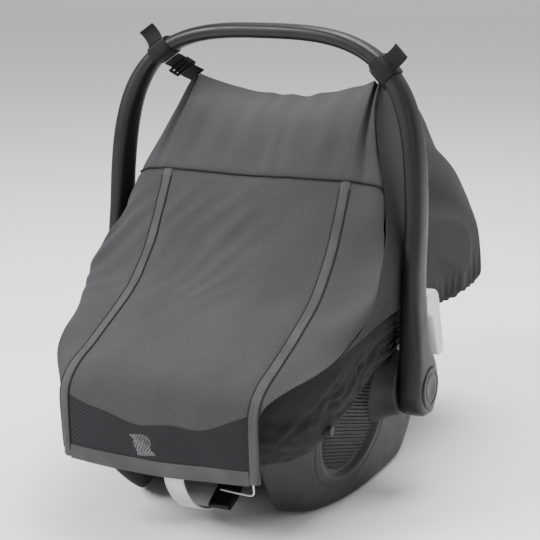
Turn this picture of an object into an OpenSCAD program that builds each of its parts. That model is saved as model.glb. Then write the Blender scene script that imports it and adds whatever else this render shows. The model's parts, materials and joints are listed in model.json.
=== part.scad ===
// Infant car seat carrier with a strap-on mesh cover.
// +X is the right side, +Y points to the head end, +Z is up, and the floor is z = 0.
// Shapes are laid out from the floor point under the plane of the handle, then shifted by y_shift.

/* [Shell] */
// Half-width of the shell at its rim
rim_half_w = 171; // [165:1:172]
// Half-length of the shell at its rim
rim_half_l = 284; // [274:1:286]
// Height of the rim at the foot end
foot_rim_z = 186; // [175:1:190]
// Height of the rim beside the handle
side_rim_z = 226; // [215:1:232]
// Height of the rim at the head end
head_rim_z = 330; // [300:1:332]
// Half-width of the outer edges of the skids on the floor
skid_half_w = 141; // [134:1:142]
// Half-width of the channel between the skids
channel_half_w = 82; // [78:1:95]
// Thickness of the shell's moulded wall
wall = 4.5; // [3:0.5:6]
// Radius of the round dish in each side wall
dish_r = 86; // [78:1:88]
// Depth of the dish
dish_depth = 8; // [4:0.5:9]

/* [Handle] */
// Half-width of the handle between the centre lines of its legs
handle_half_w = 200; // [198:1:202]
// Height of the handle's centre line above its base point
handle_rise = 417; // [410:1:420]
// Backward rake of the handle's plane, in degrees
handle_rake = 3.9; // [3:0.1:4.5]
// Radius of the round hub at the foot of each leg
hub_r = 36; // [34:1:37]
// Radius of the pivot pins
pin_r = 5; // [4:0.5:6]
// Radial clearance of each running fit
running_gap = 0.05; // [0.02:0.01:0.1]
// Radius of the round release button in each hub
button_r = 26; // [24:0.5:27]
// Travel of the release buttons
button_travel = 4; // [3:0.5:4]

/* [Cover] */
// Thickness of the cover's cloth as built in the solids
cloth_t = 2.4; // [2:0.2:3]
// Distance of the two binding strips from the middle
strip_x = 119; // [115:1:122]
// Width of the binding strips
strip_w = 12; // [8:1:14]
// Width of the strap loops round the handle
loop_w = 28; // [25:1:30]

/* [Hidden] */
y_shift = -51.7;      // puts the origin under the middle of the whole object
rim_mid_y = 34;       // middle of the rim's outline
rim_n = 3.4;          // how square the rim's outline is, from 2 for an ellipse
base_mid_y = 20;      // widest place of the skids' outline
base_half_l = 185;    // half-length of the skids' outline
hood_n = 7;           // how square the hood's outline is
floor_z = 55;         // lowest point of the inside floor
channel_z = 50;       // height of the underside between the skids
pivot = [13, 132];    // y and z of the handle's hinge
hub_in = 188.3;       // x of the hub's inner face
hub_out = 219;        // x of the hub's outer face
web_out = 203;        // x of the floor of the hub's pocket
dish_at = [-76, 118]; // y and z of the middle of the dish
rib_r = 66;           // radius of the ribbed panel in the dish
rib_pitch = 7.5;      // spacing of its ribs
adjuster_y = -86;     // y of the harness adjuster
lever_pin = [29, 233];// y and z of the lever's hinge
plastic = [0.16, 0.16, 0.17];
dark = [0.1, 0.1, 0.11];
cloth = [0.32, 0.32, 0.33];
pale = [0.82, 0.82, 0.83];
steel = [0.62, 0.63, 0.65];

// ---- helpers ----
function ramp(v, a, b) = let (t = min(1, max(0, (v - a) / (b - a)))) t * t * (3 - 2 * t);
function mix(a, b, t) = a + (b - a) * t;
// Superellipse of squareness n: its point at angle a, for half-sizes hx and hy about y = cy
function rho(a, n) = pow(pow(abs(cos(a)), n) + pow(abs(sin(a)), n), -1 / n);
function plan(a, n, hx, hy, cy) = [hx * rho(a, n) * cos(a), cy + hy * rho(a, n) * sin(a)];
function unit2(v) = v / max(0.001, norm(v));
// Cosine or sine bent towards a rounded rectangle
function squared(v) = sign(v) * pow(abs(v), 0.8);

// Solid skin through rings of equal length, with flat ends, or joined end to end as a loop
module skin(rings, loop = false) {
  n = len(rings[0]);
  m = len(rings);
  sides = [for (i = [0 : m - (loop ? 1 : 2)], j = [0 : n - 1])
    let (a = i * n + j, b = i * n + (j + 1) % n, k = (i + 1) % m, c = k * n + (j + 1) % n, d = k * n + j)
    each [[a, c, b], [a, d, c]]];
  ends = loop ? [] : [[for (j = [0 : n - 1]) j], [for (j = [n - 1 : -1 : 0]) (m - 1) * n + j]];
  polyhedron([for (r = rings) each r], concat(sides, ends));
}

// Closed skin through rings that start and end at a point
module bowl_skin(rings, first, last) {
  n = len(rings[0]);
  m = len(rings);
  sides = [for (i = [0 : m - 2], j = [0 : n - 1])
    let (a = i * n + j, b = i * n + (j + 1) % n, c = (i + 1) * n + (j + 1) % n, d = (i + 1) * n + j)
    each [[a, c, b], [a, d, c]]];
  fans = [for (j = [0 : n - 1]) each [
    [n * m, j, (j + 1) % n],
    [n * m + 1, (m - 1) * n + (j + 1) % n, (m - 1) * n + j]]];
  polyhedron(concat([for (r = rings) each r], [first, last]), concat(sides, fans));
}

// Thin solid between an outer and an inner grid of points
module sheet(outer, inner) {
  n = len(outer[0]);
  m = len(outer);
  w = 2 * n;
  sides = [for (i = [0 : m - 2], j = [0 : w - 1])
    let (a = i * w + j, b = i * w + (j + 1) % w, c = (i + 1) * w + (j + 1) % w, d = (i + 1) * w + j)
    each [[a, c, b], [a, d, c]]];
  ends = [for (e = [0, (m - 1) * w], j = [0 : n - 2])
    let (a = e + j, b = e + j + 1, c = e + w - 2 - j, d = e + w - 1 - j)
    each (e == 0 ? [[a, b, c], [a, c, d]] : [[a, c, b], [a, d, c]])];
  polyhedron([for (i = [0 : m - 1]) each concat(outer[i], [for (j = [n - 1 : -1 : 0]) inner[i][j]])],
    concat(sides, ends));
}

// Flat webbing along a list of points, its width along x
module webbing(route, w, t) {
  m = len(route);
  skin([for (i = [0 : m - 1])
    let (p = route[i],
         d = route[min(m - 1, i + 1)] - route[max(0, i - 1)],
         u = unit2([d[1], d[2]]),
         o = [0, -u[1], u[0]] * t / 2)
    [p + o + [w / 2, 0, 0], p + o - [w / 2, 0, 0], p - o - [w / 2, 0, 0], p - o + [w / 2, 0, 0]]]);
}

// Cylinder along +X from x0 to x1, at y and z
module rod_x(x0, x1, at, r) {
  translate([x0, at[0], at[1]]) rotate([0, 90, 0]) cylinder(r = r, h = x1 - x0, $fn = 64);
}

// Right-hand piece, or its mirror image on the left
module on_side(s) {
  if (s > 0) children();
  else mirror([1, 0, 0]) children();
}

// ---- shell ----
function rise(y) = y < 40 ? 125 * pow((40 - y) / 300, 3) : 215 * pow((y - 40) / 290, 2.2);
function rim_z(y) = foot_rim_z + (side_rim_z - foot_rim_z) * ramp(y, -245, -90)
  + (head_rim_z - side_rim_z) * ramp(y, 30, 290);
function skid_z(y) = let (d = max(0, abs(y) - 100)) sqrt(900 + pow(0.63 * d, 2)) - 30;
function bulge(t) = pow(sin(90 * t), 0.8);
function base_plan(a) = plan(a, sin(a) < 0 ? 2.5 : 4, skid_half_w, base_half_l, base_mid_y);
function rim_plan(a, e) = plan(a, rim_n, rim_half_w - e, rim_half_l - e, rim_mid_y);
function flare(a, t) = bulge(min(1, t / mix(1, 0.7, ramp(-sin(a), 0.3, 0.9))));
function base_z(p) = mix(channel_z + rise(p[1]), skid_z(p[1]),
  ramp(abs(p[0]), channel_half_w - 12, channel_half_w + 6));
function dish(y, z) = dish_depth * ramp(dish_r - norm([y, z] - dish_at), 0, 15);

// Point of the outer wall at angle a and level t, stood off by e
function wall_point(a, t, e = 0) =
  let (b = base_plan(a), r = rim_plan(a, 0), p = mix(b, r, flare(a, t)),
       z = mix(base_z(b), rim_z(r[1]), t), n = unit2([cos(a), sin(a)]),
       d = e - (abs(p[0]) > 75 ? dish(p[1], z) : 0))
  [p[0] + n[0] * d, p[1] + n[1] * d, z];

// Point of the inside surface, moved inwards by e
function inner_point(a, t, e) =
  let (b = plan(a, 2.5, 116 - e, 150 - e, 12), r = rim_plan(a, wall + e), p = mix(b, r, flare(a, t)))
  [p[0], p[1], mix(floor_z + rise(b[1]) + e, rim_z(r[1]) - (e > 0 ? 4 : 0), t)];

function floor_ring(n, e, k) = [for (j = [0 : n - 1])
  let (p = plan(360 * j / n, 2.5, (116 - e) * k, (150 - e) * k, 12)) [p[0], p[1], floor_z + rise(p[1]) + e]];

// Levels of the inside surface, from the rim down
levels = [1, 0.85, 0.6, 0.4, 0.2, 0];
module shell() {
  n = 96;
  turn = 360 / n;
  under = [for (k = [0.33, 0.7, 1]) [for (j = [0 : n - 1])
    let (p = base_plan(turn * j), c = channel_half_w - (k < 1 ? 3 : 0), q = k < 1 ? k / 0.7 : 1,
         x = sign(p[0]) * min(abs(p[0]) * 0.99, c) * q, y = mix(base_mid_y, p[1], 0.99 * q))
    [x, y, k < 1 ? channel_z + rise(y) : base_z(p)]]];
  outer = [for (t = [0, 0.07, 0.15, 0.23, 0.31, 0.39, 0.47, 0.55, 0.63, 0.72, 0.85, 1])
    [for (j = [0 : n - 1]) wall_point(turn * j, t)]];
  inner = [for (t = levels) [for (j = [0 : n - 1]) inner_point(turn * j, t, 0)]];
  color(plastic) bowl_skin(
    concat(under, outer, inner, [floor_ring(n, 0, 0.66), floor_ring(n, 0, 0.33)]),
    [0, base_mid_y, channel_z + rise(base_mid_y)], [0, 12, floor_z + rise(12)]);
}

// Bowl-shaped layer that lies in the shell, between two insets
function layer_point(a, k, e) =
  k > 0 ? inner_point(a, levels[k], e) : mix(inner_point(a, levels[1], e), inner_point(a, 1, e), 0.45);
module layer(e0, e1, n) {
  outer = [for (k = [5 : -1 : 0]) [for (j = [0 : n - 1]) layer_point(360 * j / n, k, e0)]];
  inner = [for (k = [0 : 5]) [for (j = [0 : n - 1]) layer_point(360 * j / n, k, e1)]];
  bowl_skin(
    concat([floor_ring(n, e0, 0.33), floor_ring(n, e0, 0.66)], outer, inner,
      [floor_ring(n, e1, 0.66), floor_ring(n, e1, 0.33)]),
    [0, 12, floor_z + rise(12) + e0], [0, 12, floor_z + rise(12) + e1]);
}
module foam_liner() { color("white") layer(1.4, 13, 48); }
module seat_pad() { color([0.2, 0.2, 0.22]) layer(14.8, 34, 48); }

// Point on the pad's upper face, raised by h
function pad_z(y, h) = floor_z + rise(y) + 34 + h;

// Cushion that hugs the head, a fat horseshoe on the pad
module head_support() {
  n = 24;
  color([0.24, 0.24, 0.26]) skin([for (i = [0 : n])
    let (a = 180 * i / n, c = [56 * cos(a), 112 + 44 * sin(a)], d = [cos(a), sin(a)])
    [for (k = [0 : 9]) let (u = 36 * k, q = c + d * 12.5 * cos(u))
      [q[0], q[1], pad_z(q[1], 25 + 12 * sin(u))]]]);
}

// Textile edge of the seat's own cover, folded over the rim
function skirt_low(y) = 96 + 68 * ramp(y, -235, 0) + 50 * ramp(y, 40, 250);
function wall_at(a, z, e) = let (b = base_plan(a), r = rim_plan(a, 0),
  t = (z - base_z(b)) / (rim_z(r[1]) - base_z(b)), p = mix(b, r, flare(a, min(1, max(0, t)))))
  [p[0] + cos(a) * e, p[1] + sin(a) * e, z];
module seat_skirt() {
  n = 72;
  color([0.22, 0.22, 0.23]) skin([for (j = [0 : n - 1])
    let (a = -360 * j / n, rim_y = rim_plan(a, 0)[1], top = rim_z(rim_y),
         low = max(skirt_low(rim_y), base_z(base_plan(a)) + 8))
    concat([for (k = [0, 0.25, 0.5, 0.75]) wall_at(a, mix(low, top, k), 0.9)],
      [wall_at(a, top + 0.7, 0.7), wall_at(a, top + 0.7, -wall - 0.7), wall_at(a, top - 2, -wall - 1),
       wall_at(a, top - 2, -wall - 4), wall_at(a, top + 4, -wall - 3), wall_at(a, top + 4, 3.6)],
      [for (k = [0.75, 0.5, 0.25, 0]) wall_at(a, mix(low, top, k), 3.8)])], loop = true);
}

// Two snap studs that hold the skirt to the side walls
module skirt_snaps() {
  color(dark) for (s = [-1, 1]) on_side(s) rod_x(144, 163.5, [-156, 123], 6);
}

// Screw heads below the hubs
module shell_screws() {
  color(steel) for (s = [-1, 1]) on_side(s) rod_x(148, 164.5, [2, 92], 3);
}

// Round panel of level ribs, in the dish of the side wall
function side_angle(y, z, lo = -80, hi = 20, n = 12) = let (a = (lo + hi) / 2)
  n == 0 ? a : wall_at(a, z, 0)[1] > y ? side_angle(y, z, lo, a, n - 1) : side_angle(y, z, a, hi, n - 1);
function dish_point(y, z, e) = [wall_at(side_angle(y, z), z, 0)[0] - dish_depth + e, y, z];
module side_rib_panel(s) {
  last = floor(rib_r / rib_pitch);
  levels = [for (k = [-last : last], f = [[-2, 1.2], [-1.2, 3.2], [1.2, 3.2], [2, 1.2]])
    if (abs(k * rib_pitch + f[0]) < rib_r - 1) [k * rib_pitch + f[0], f[1]]];
  function row(l, e) = let (half = sqrt(rib_r * rib_r - l[0] * l[0]))
    [for (u = [-1 : 0.4 : 1]) dish_point(dish_at[0] + half * u, dish_at[1] + l[0], e)];
  color([0.13, 0.13, 0.14]) on_side(s)
    sheet([for (l = levels) row(l, l[1])], [for (l = levels) row(l, 0.5)]);
}
module side_rib_panel_left() { side_rib_panel(-1); }
module side_rib_panel_right() { side_rib_panel(1); }

// ---- harness ----
function strap_route(s) = [for (k = [0 : 8]) let (y = mix(134, -2, k / 8))
  [s * mix(30, 17, k / 8), y, pad_z(y, 5 + 20 * sin(180 * k / 8))]];
module shoulder_strap(s) { color(dark) webbing(strap_route(s), 28, 1.8); }
module shoulder_strap_left() { shoulder_strap(-1); }
module shoulder_strap_right() { shoulder_strap(1); }
module shoulder_pad(s) {
  route = strap_route(s);
  color([0.24, 0.24, 0.26]) webbing([for (k = [1 : 5]) route[k] + [s * 0.6, -4.5, 5.4]], 34, 6);
}
module shoulder_pad_left() { shoulder_pad(-1); }
module shoulder_pad_right() { shoulder_pad(1); }
module crotch_strap() {
  color(dark) webbing([[0, -62, pad_z(-62, 2.6)], [0, -48, pad_z(-48, 8)], [0, -37, pad_z(-37, 12)]], 34, 3);
}
module buckle_body() {
  color(dark) translate([0, -20, pad_z(-20, 7)]) difference() {
    translate([-22, -16, 0]) cube([44, 32, 15]);
    translate([-11.5, -11.5, 4]) cube([23, 23, 12]);
  }
}
module buckle_button() { color("firebrick") translate([-11, -31, pad_z(-20, 17)]) cube([22, 22, 6.5]); }
module buckle_tongue(s) {
  color(steel) on_side(s) translate([4, -3.7, pad_z(-20, 12)]) cube([15, 9, 2.4]);
}
module buckle_tongue_left() { buckle_tongue(-1); }
module buckle_tongue_right() { buckle_tongue(1); }
module adjuster_housing() {
  color(dark) translate([0, adjuster_y, pad_z(adjuster_y, 4.5)]) difference() {
    translate([-24, -14, 0]) cube([48, 28, 9]);
    translate([-14.5, -8.5, 3]) cube([29, 17, 7]);
  }
}
module adjuster_button() {
  color([0.35, 0.35, 0.36]) translate([-14, adjuster_y - 8, pad_z(adjuster_y, 11)]) cube([28, 16, 5]);
}

// Pull webbing under the foot end, and the moulded grip it is parked in
adjuster_route = [for (p = [[-250, 80], [-248, 70], [-240, 56], [-228, 42], [-212, 30], [-194, 21], [-180, 17]])
  [10, p[0], p[1]]];
module adjuster_webbing() { color(pale) webbing(adjuster_route, 25, 2); }
module adjuster_pull() {
  color(dark) hull() {
    translate([23, -188, 26]) rotate([0, 90, 0]) cylinder(r = 4, h = 26, $fn = 24);
    translate([23, -164, 34]) rotate([0, 90, 0]) cylinder(r = 7, h = 24, $fn = 24);
    translate([23, -150, 42]) rotate([0, 90, 0]) cylinder(r = 8, h = 22, $fn = 24);
  }
}

// Steel bars that a car base or a stroller adapter grips
module latch_bar(y) { color(steel) rod_x(-channel_half_w - 3, channel_half_w + 3, [y, 32], 5); }
module latch_bar_front() { latch_bar(-88); }
module latch_bar_rear() { latch_bar(96); }

// Release grip for the base, in a box under the head end
module release_housing() {
  color(dark) difference() {
    translate([-50, 0, 0]) rotate([90, 0, 90]) linear_extrude(100)
      polygon([[140, 54], [186, 54], [186, 99], [163, 83.5], [140, 72.5]]);
    translate([-36, 147, 53]) cube([72, 40, 20]);
  }
}
module release_handle() { color([0.3, 0.3, 0.31]) translate([-35.5, 150, 55]) cube([71, 30, 16]); }

// ---- handle ----
function leg_x(r) = handle_half_w * pow(1 - pow(r / handle_rise, 6.3), 1 / 2.96);
function bar_r(x) = handle_rise * pow(1 - pow(x / handle_half_w, 2.96), 1 / 6.3);
leg_stops = [115, 135, 170, 205, 240, 275, 305, 330];
bar_stops = [170, 155, 140, 123, 104, 80, 54, 27, 0];
half_line = concat([for (r = leg_stops) [leg_x(r), r]], [for (x = bar_stops) [x, bar_r(x)]]);
center_line = concat(half_line, [for (i = [len(half_line) - 2 : -1 : 0]) [-half_line[i][0], half_line[i][1]]]);
function raked(x, r, off) = [x, r * sin(handle_rake) + off * cos(handle_rake),
  135 + r * cos(handle_rake) - off * sin(handle_rake)];
// Half-thickness across the handle's plane and half-depth along it, at height r
function half_thick(r) = mix(12.5, 11.2, ramp(r, 40, 190)) - 1.7 * ramp(r, 330, 400);
function half_deep(r) = mix(22, 21, ramp(r, 50, 200)) - 6 * ramp(r, 260, 410);
// Leg's middle, moved towards the front near the hub
function leg_off(r) = mix(2, 0, ramp(r, 40, 200)) - 4 * ramp(200 - r, 0, 60) * ramp(r, 50, 90);
function handle_ring(i, n, grow) =
  let (p = center_line[i], m = len(center_line),
       d = unit2(center_line[min(m - 1, i + 1)] - center_line[max(0, i - 1)]),
       o = [d[1], -d[0]], a = half_thick(p[1]) + grow, b = half_deep(p[1]) + grow)
  [for (k = [0 : n - 1]) let (c = squared(cos(360 * k / n)), s = squared(sin(360 * k / n)))
    raked(p[0] + o[0] * a * c, p[1] + o[1] * a * c, leg_off(p[1]) + b * s)];
module handle_bow() {
  color(plastic) skin([for (i = [0 : len(center_line) - 1]) handle_ring(i, 20, 0)]);
}
module handle_hub(s) {
  color(plastic) on_side(s) difference() {
    union() {
      rod_x(hub_in, hub_out, pivot, hub_r);
      translate([hub_in, 0, 0]) rotate([90, 0, 90]) linear_extrude(hub_out - hub_in - 5)
        polygon([[-22, 126], [-20, 160], [-16, 200], [-13, 252], [18, 252], [17, 212], [20, 190],
          [28, 176], [42, 154]]);
      for (x = [197.5, 213.5]) translate([x, 0, 0]) rotate([90, 0, 90]) linear_extrude(2.5)
        polygon([[4, 214], [4, 240], [30, 240], [35, 233], [30, 226]]);
      translate([197.5, 0, 0]) rotate([90, 0, 90]) linear_extrude(18.5)
        polygon([[4, 196], [4, 240], [13, 240], [13, 214], [16, 196]]);
      rod_x(198.5, 215, lever_pin, 2);
    }
    rod_x(web_out, hub_out + 4, pivot, button_r + 0.4);
    rod_x(hub_in - 4, web_out + 1, pivot, pin_r + running_gap);
  }
}
module handle_hub_left() { handle_hub(-1); }
module handle_hub_right() { handle_hub(1); }

// Fixed boss on the shell that the hub turns against
module pivot_plate(s) {
  color(dark) on_side(s) difference() {
    union() {
      rod_x(180, hub_in - 0.4, pivot, 30);
      translate([161, pivot[0], pivot[1]]) rotate([0, 90, 0]) cylinder(r1 = 38, r2 = 34, h = 20, $fn = 64);
    }
    rod_x(150, 190, pivot, pin_r);
  }
}
module pivot_plate_left() { pivot_plate(-1); }
module pivot_plate_right() { pivot_plate(1); }
module pivot_pin(s) {
  color(steel) on_side(s) union() {
    rod_x(161, 204, pivot, pin_r);
    rod_x(203.3, 205.3, pivot, 9);
  }
}
module pivot_pin_left() { pivot_pin(-1); }
module pivot_pin_right() { pivot_pin(1); }

// Spring, toothed lock ring and round button in the hub's pocket
module lock_spring(s) {
  turns = 3.5;
  steps = 42;
  color(steel) on_side(s) skin([for (i = [0 : steps])
    let (a = 360 * turns * i / steps, x = 204.2 + 8 * i / steps)
    [for (k = [0 : 4]) let (u = 72 * k, q = 12.2 + 0.9 * cos(u))
      [x + 0.9 * sin(u), pivot[0] + q * cos(a), pivot[1] + q * sin(a)]]]);
}
module lock_spring_left() { lock_spring(-1); }
module lock_spring_right() { lock_spring(1); }
module lock_gear(s) {
  color([0.7, 0.7, 0.72]) on_side(s) translate([209.6, pivot[0], pivot[1]]) rotate([0, 90, 0]) difference() {
    union() {
      cylinder(r = 21.5, h = 3, $fn = 64);
      for (k = [0 : 11]) rotate(30 * k) translate([18, -2.5, 0]) cube([6.5, 5, 3]);
    }
    translate([0, 0, -1]) cylinder(r = 16, h = 5, $fn = 64);
  }
}
module lock_gear_left() { lock_gear(-1); }
module lock_gear_right() { lock_gear(1); }
module lock_button(s) {
  color([0.2, 0.2, 0.21]) on_side(s) difference() {
    union() {
      rod_x(212.6, 219.8, pivot, button_r);
      rod_x(212.6, 220.8, pivot, button_r - 2);
    }
    rod_x(212, 218, pivot, 15);
  }
}
module lock_button_left() { lock_button(-1); }
module lock_button_right() { lock_button(1); }

// Pale trigger behind each leg
module lever(s) {
  color(pale) on_side(s) difference() {
    translate([200.6, 0, 0]) rotate([90, 0, 90]) linear_extrude(12.3) polygon([
      [21, 240], [28, 246], [44, 246], [56, 238], [61, 224], [69, 196], [77, 168], [76, 161], [70, 158],
      [58, 161], [49, 180], [38, 210], [21, 222]]);
    rod_x(199, 216, lever_pin, 2 + running_gap);
  }
}
module lever_left() { lever(-1); }
module lever_right() { lever(1); }

// ---- straps of the cover, looped round the handle's corners ----
loop_stop = [10, 9];  // stations of the handle's centre line that the left and right loops are round
function station(s) = loop_stop[s > 0 ? 1 : 0];
function along(s) = let (k = station(s)) unit2(center_line[k + 1] - center_line[k - 1]);
function across(s) = let (d = along(s)) [d[1], -d[0]];
// Point beside the loop: v out from the centre line, w along it and h backwards
function loop_point(s, v, w, h) = let (f = center_line[station(s)] + across(s) * v + along(s) * w)
  raked(f[0], f[1], h);
module strap_loop(s) {
  n = 20;
  r = center_line[station(s)][1];
  a = half_thick(r);
  b = half_deep(r);
  color(dark) on_side(s) skin([for (k = [n - 1 : -1 : 0])
    let (c = squared(cos(360 * k / n)), q = squared(sin(360 * k / n)))
    [for (w = [[-1, 1], [1, 1], [1, 2.8], [-1, 2.8]])
      loop_point(s, (a + w[1]) * c, w[0] * loop_w / 2, leg_off(r) + (b + w[1]) * q)]], loop = true);
}
module strap_loop_left() { strap_loop(-1); }
module strap_loop_right() { strap_loop(1); }

// Tail of each strap, standing out from the loop
module strap_tab(s) {
  a = half_thick(center_line[station(s)][1]) + 3;
  color(dark) on_side(s) skin([for (v = [a, a + 20]) [for (c = [[-11, -2], [11, -2], [11, 2], [-11, 2]])
    loop_point(s, v, c[0], c[1] - 9)]]);
}
module strap_tab_left() { strap_tab(-1); }
module strap_tab_right() { strap_tab(1); }

// Strap from the loop towards the cover's corner, and the slotted slider on it
cover_corner = [127, 82, 488];
function link_point(s, t, w, h) =
  let (b = [along(s)[0], 0, along(s)[1]], p = loop_point(s, -19, w, 6),
    q = cover_corner + b * w * 0.8, d = q - p)
  mix(p, q, t) + cross(d / norm(d), b) * h;
module strap_link(s) {
  color(dark) on_side(s) skin([for (t = [0, 0.4, 0.78])
    [for (c = [[-12, -0.9], [12, -0.9], [12, 0.9], [-12, 0.9]])
      link_point(s, t, c[0], c[1])]]);
}
module strap_link_left() { strap_link(-1); }
module strap_link_right() { strap_link(1); }
module strap_buckle(s) {
  color(dark) on_side(s) skin([for (t = [0.24, 0.5]) [for (c = [[-14, 1.2], [14, 1.2], [14, 4.4], [-14, 4.4]])
    link_point(s, t, c[0], c[1])]]);
}
module strap_buckle_left() { strap_buckle(-1); }
module strap_buckle_right() { strap_buckle(1); }

// ---- cover ----
// Rows from the hem up to the ridge: middle y and z, strip y and z, then the side edge's x, y and z
cover_rows = [
  [-272, 88, -266, 91, 129, -251, 94],
  [-275, 146, -268, 147, 138, -247, 142],
  [-272, 180, -265, 176, 147, -236, 172],
  [-252, 204, -246, 195, 161, -211, 196],
  [-210, 222, -205, 209, 176, -168, 212],
  [-152, 246, -148, 232, 183, -118, 234],
  [-106, 270, -103, 256, 186, -88, 258],
  [-70, 302, -66, 290, 184, -60, 291],
  [-46, 334, -40, 324, 177, -26, 324],
  [-15, 381, -7, 381, 163, 0, 371],
  [17, 420, 22, 426, 146, 24, 414],
  [58, 447, 52, 462, 133, 50, 454],
  [100, 463, 80, 489, 127, 82, 488]];
seam_row = 9;
ridge_row = 12;
function row_at(v) = let (i = min(ridge_row - 1, floor(v))) mix(cover_rows[i], cover_rows[i + 1], v - i);
function outward(v) = let (a = row_at(max(0, v - 0.5)), b = row_at(min(ridge_row, v + 0.5)),
  t = unit2([b[2] - a[2], b[3] - a[3]])) [-t[1], t[0]];
// Point of the cover at row v and lateral place x, lifted by h, where x past the strip turns round the edge
function sail(v, x, h) = let (r = row_at(v), o = outward(v), q = abs(x) / strip_x)
  [x, mix(r[0], r[2], q * q) + o[0] * h, mix(r[1], r[3], q * q) + o[1] * h];
function sail_side(v, u, h) = let (r = row_at(v), o = outward(v), k = 1 - cos(90 * u))
  [mix(strip_x, r[4], sin(90 * u)) + h * sin(90 * u) * 0.8,
   mix(r[2], r[5], k) + o[0] * h, mix(r[3], r[6], k) + o[1] * h];
function span(a, b, n) = [for (i = [0 : n]) mix(a, b, i / n)];

module cover_center_mesh() {
  rows = span(0, seam_row - 0.04, 14);
  columns = span(-strip_x + 0.3, strip_x - 0.3, 8);
  color(cloth) sheet([for (v = rows) [for (x = columns) sail(v, x, 0)]],
    [for (v = rows) [for (x = columns) sail(v, x, -cloth_t)]]);
}
module cover_side_mesh(s) {
  rows = span(0, seam_row - 0.04, 14);
  columns = span(0, 1, 5);
  color(cloth * 0.95) on_side(s) sheet([for (v = rows) [for (u = columns) sail_side(v, u, 0)]],
    [for (v = rows) [for (u = columns) sail_side(v, u, -cloth_t)]]);
}
module cover_side_mesh_left() { cover_side_mesh(-1); }
module cover_side_mesh_right() { cover_side_mesh(1); }
module cover_binding(s) {
  rows = span(0, seam_row - 0.04, 22);
  color([0.27, 0.27, 0.28]) on_side(s) sheet(
    [for (v = rows) [for (x = [-strip_w / 2, strip_w / 2]) sail(v, strip_x + x, 2)]],
    [for (v = rows) [for (x = [-strip_w / 2, strip_w / 2]) sail(v, strip_x + x, 0.6)]]);
}
module cover_binding_left() { cover_binding(-1); }
module cover_binding_right() { cover_binding(1); }
module cover_hem() {
  columns = span(-strip_x + 7, strip_x - 7, 8);
  color([0.27, 0.27, 0.28]) sheet([for (v = [0.02, 0.26]) [for (x = columns) sail(v, x, 1.8)]],
    [for (v = [0.02, 0.26]) [for (x = columns) sail(v, x, 0.4)]]);
}
module cover_top() {
  rows = span(seam_row, ridge_row, 6);
  function top_row(v, h) = concat(
    [for (u = [1 : -0.25 : 0.25]) let (p = sail_side(v, u, h)) [-p[0], p[1], p[2]]],
    [for (x = span(-strip_x, strip_x, 8)) sail(v, x, h)], [for (u = [0.25 : 0.25 : 1]) sail_side(v, u, h)]);
  color(cloth * 1.1) sheet([for (v = rows) top_row(v, 0.4)], [for (v = rows) top_row(v, -cloth_t)]);
}

// Hood over the head end, from the front cover's edge to a gathered rear hem
hood_edge = concat([for (v = span(4, ridge_row, 8)) let (r = row_at(v)) [r[4] - 3, r[5] + 6, r[6] - 4]],
  [for (x = [80, 40, 0]) [x, mix(104, 88, pow(x / 127, 2)), mix(460, 486, pow(x / 127, 2))]]);
hood_turn = concat(span(0, 60, 8), [70, 80, 90]);
function hood_point(i, t) =
  let (f = hood_edge[i], a = hood_turn[i], m = plan(a, hood_n, 188 + 20 * sin(a), 316, 70),
       r = plan(a, hood_n, 178 + 14 * sin(a), 318, 60))
  f * pow(1 - t, 2) + [m[0], m[1], 252 + 226 * pow(sin(a), 1.2)] * 2 * t * (1 - t)
  + [r[0], r[1], 196 - 20 * sin(a)] * t * t;
function hood_row(t, k) = let (c = [0, 40, 160], last = len(hood_edge) - 1)
  [for (i = [0 : 2 * last])
    let (p = hood_point(i <= last ? i : 2 * last - i, t), q = [i <= last ? p[0] : -p[0], p[1], p[2]])
    c + (q - c) * k];
module cover_hood() {
  steps = span(0, 1, 8);
  color(cloth * 0.85) sheet([for (t = steps) hood_row(t, 1)], [for (t = steps) hood_row(t, 0.987)]);
}

// Thin elastic from the hem's corner to the underside
module hem_elastic() {
  route = [[108, -248, 86], [102, -236, 66], [80, -220, 58], [55, -200, 50], [34, -182, 43]];
  color(dark) skin([for (p = route) [for (k = [0 : 5]) p + [0, 1.5 * cos(60 * k), 1.5 * sin(60 * k)]]]);
}

module placed() { translate([0, y_shift, 0]) children(); }

placed() shell();
placed() foam_liner();
placed() seat_pad();
placed() head_support();
placed() seat_skirt();
placed() skirt_snaps();
placed() shell_screws();
placed() side_rib_panel_left();
placed() side_rib_panel_right();
placed() shoulder_strap_left();
placed() shoulder_strap_right();
placed() shoulder_pad_left();
placed() shoulder_pad_right();
placed() crotch_strap();
placed() buckle_body();
placed() buckle_button();
placed() buckle_tongue_left();
placed() buckle_tongue_right();
placed() adjuster_housing();
placed() adjuster_button();
placed() adjuster_webbing();
placed() adjuster_pull();
placed() latch_bar_front();
placed() latch_bar_rear();
placed() release_housing();
placed() release_handle();
placed() pivot_plate_left();
placed() pivot_plate_right();
placed() pivot_pin_left();
placed() pivot_pin_right();
placed() handle_bow();
placed() handle_hub_left();
placed() handle_hub_right();
placed() lock_spring_left();
placed() lock_spring_right();
placed() lock_gear_left();
placed() lock_gear_right();
placed() lock_button_left();
placed() lock_button_right();
placed() lever_left();
placed() lever_right();
placed() strap_loop_left();
placed() strap_loop_right();
placed() strap_link_left();
placed() strap_link_right();
placed() strap_buckle_left();
placed() strap_buckle_right();
placed() strap_tab_left();
placed() strap_tab_right();
placed() cover_center_mesh();
placed() cover_side_mesh_left();
placed() cover_side_mesh_right();
placed() cover_binding_left();
placed() cover_binding_right();
placed() cover_hem();
placed() cover_top();
placed() cover_hood();
placed() hem_elastic();
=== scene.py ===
"""Looks of the infant car seat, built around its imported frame.

Shapes are laid out in millimetres, with y = 0 under the plane of the handle. They are turned into the frame's
metres when a mesh is made.
"""

import json
import math

import bpy
import bmesh
import numpy as np
from mathutils import Matrix, Vector


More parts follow.
